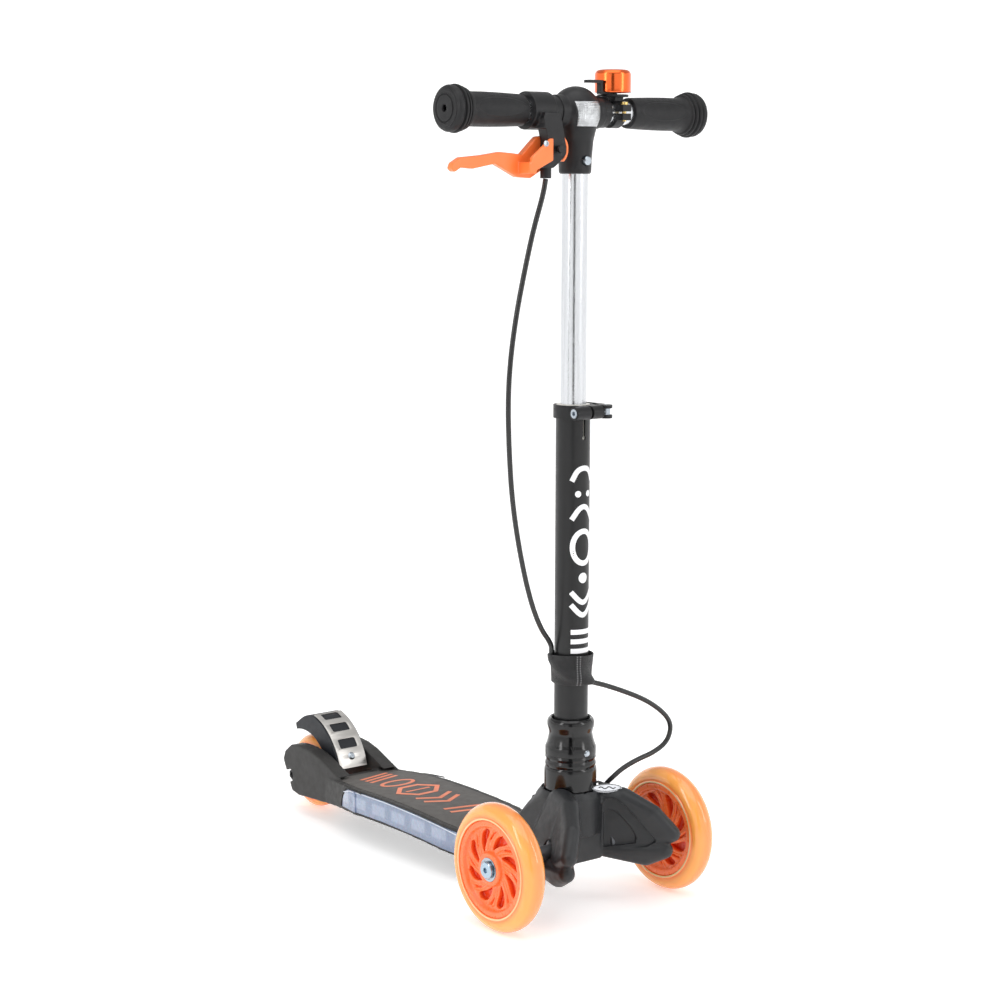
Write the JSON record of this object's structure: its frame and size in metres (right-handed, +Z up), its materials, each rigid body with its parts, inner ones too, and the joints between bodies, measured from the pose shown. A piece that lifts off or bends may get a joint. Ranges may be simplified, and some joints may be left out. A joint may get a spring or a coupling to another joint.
{
  "type": "kick scooter",
  "caption": "Child's kick scooter: a deck that leans to steer on two front wheels and one rear wheel, a height-adjustable handlebar, hand brake, bell and foot brake.",
  "frame": {"origin": "on the ground, at the middle of the scooter's footprint", "axes": "+Z up, -Y the direction of travel, +X the rider's left"},
  "size_m": [0.3, 0.55, 0.7843],
  "materials": {
    "deck_plastic": "fine grained",
    "deck_pad": "fine textured",
    "lens_plastic": "translucent, smooth",
    "light_bar": "smooth",
    "inner_plastic": "moulded",
    "gloss_black": "polished",
    "shell_plastic": "fine grained",
    "badge_plastic": "smooth",
    "painted_tube": "satin",
    "bright_aluminium": "drawn and polished",
    "steel": "zinc plated",
    "cast_carrier": "cast",
    "bush_plastic": "moulded",
    "bush_rubber": "moulded",
    "black_plastic": "moulded",
    "strap_fabric": "woven",
    "grip_rubber": "matt, textured",
    "lever_orange": "satin",
    "cable_jacket": "smooth",
    "bell_orange": "anodised look, glossy",
    "brass": "bright",
    "hub_orange": "translucent",
    "tyre_orange": "cast polyurethane, translucent",
    "fender_plastic": "fine grained",
    "brake_plate": "brushed"
  },
  "bodies": {
    "deck_and_stem": {"deck_board": "deck_plastic", "deck_grip_pad": "deck_pad", "deck_lens_right": "lens_plastic", "deck_lens_left": "lens_plastic", "deck_light_bars": "light_bar", "battery_box": "inner_plastic", "battery_door": "inner_plastic", "head_core": "gloss_black", "kingpin": "steel", "steering_bushes": "bush_rubber", "sleeve": "gloss_black", "lower_tube": "painted_tube", "stem_bush": "bush_plastic", "height_collar": "black_plastic", "collar_bolt": "steel", "cable_strap": "strap_fabric", "brake_cable_lower": "cable_jacket", "rear_axle": "steel", "rear_spacers": "inner_plastic", "fender_pin": "steel", "deck_screws": "steel"},
    "front_truck": {"front_shell": "shell_plastic", "front_base": "shell_plastic", "shell_badge": "badge_plastic", "axle_carrier": "cast_carrier", "front_axle_bolts": "steel"},
    "wheel_front_right": {"front_hub_right": "hub_orange", "front_tyre_right": "tyre_orange", "front_bearings_right": "steel"},
    "wheel_front_left": {"front_hub_left": "hub_orange", "front_tyre_left": "tyre_orange", "front_bearings_left": "steel"},
    "wheel_rear": {"rear_hub": "hub_orange", "rear_tyre": "tyre_orange", "rear_bearings": "steel"},
    "handlebar": {"upper_tube": "bright_aluminium", "tube_foot": "inner_plastic", "t_housing": "black_plastic", "headlight_lens": "lens_plastic", "bar_tube": "bright_aluminium", "bar_collars": "black_plastic", "grip_right": "grip_rubber", "grip_left": "grip_rubber", "lever_bracket": "black_plastic", "lever_screw": "steel", "cable_adjuster": "black_plastic", "brake_cable_upper": "cable_jacket", "bell_clamp": "black_plastic", "bell_base": "black_plastic", "bell_dome": "bell_orange", "bell_screws": "brass"},
    "top_button": {"t_button": "steel"},
    "lower_button": {"sleeve_button": "steel"},
    "quick_lever": {"collar_lever": "black_plastic"},
    "brake_handle": {"brake_lever": "lever_orange"},
    "bell_lever": {"bell_thumb_lever": "black_plastic"},
    "fender": {"fender_brake": "fender_plastic", "fender_plate": "brake_plate", "fender_rivet": "steel", "brake_pad": "bush_rubber"}
  },
  "joints": [
    {"name": "lean_steer", "type": "hinge", "parent": "deck_and_stem", "child": "front_truck", "pos_m": [0, -0.15951, 0.054], "axis": [0, -0.5, 0.866], "range_deg": [-10, 10], "stiffness_Nm_per_rad": 30},
    {"name": "front_right_spin", "type": "hinge", "parent": "front_truck", "child": "wheel_front_right", "pos_m": [-0.104, -0.215, 0.06], "axis": [1, 0, 0], "continuous": true},
    {"name": "front_left_spin", "type": "hinge", "parent": "front_truck", "child": "wheel_front_left", "pos_m": [0.104, -0.215, 0.06], "axis": [1, 0, 0], "continuous": true},
    {"name": "rear_spin", "type": "hinge", "parent": "deck_and_stem", "child": "wheel_rear", "pos_m": [0, 0.235, 0.04], "axis": [1, 0, 0], "continuous": true},
    {"name": "bar_height", "type": "slide", "parent": "deck_and_stem", "child": "handlebar", "axis": [0, 0, 1], "range_m": [-0.15, 0.06], "deforming": ["brake_cable_upper"]},
    {"name": "top_button_press", "type": "slide", "parent": "handlebar", "child": "top_button", "axis": [0, 1, 0], "range_m": [0, 0.002], "stiffness_N_per_m": 600, "springref_m": -0.002},
    {"name": "lower_button_press", "type": "slide", "parent": "deck_and_stem", "child": "lower_button", "axis": [0, 1, 0], "range_m": [0, 0.002], "stiffness_N_per_m": 600, "springref_m": -0.002},
    {"name": "quick_lever_swing", "type": "hinge", "parent": "deck_and_stem", "child": "quick_lever", "pos_m": [0.0206, -0.2155, 0.472], "axis": [0, 0, 1], "range_deg": [-120, 0]},
    {"name": "brake_pull", "type": "hinge", "parent": "handlebar", "child": "brake_handle", "pos_m": [-0.039, -0.209, 0.711], "axis": [0, 1, 0], "range_deg": [0, 12], "stiffness_Nm_per_rad": 0.8, "springref_deg": -14.32},
    {"name": "bell_flick", "type": "hinge", "parent": "handlebar", "child": "bell_lever", "pos_m": [0.037, -0.197, 0.762], "axis": [0, 0, 1], "range_deg": [0, 25], "stiffness_Nm_per_rad": 0.03, "springref_deg": -17.19},
    {"name": "fender_press", "type": "hinge", "parent": "deck_and_stem", "child": "fender", "pos_m": [0, 0.17956, 0.06018], "axis": [-1, 0, 0], "range_deg": [0, 5], "stiffness_Nm_per_rad": 4, "springref_deg": -6.88}
  ]
}
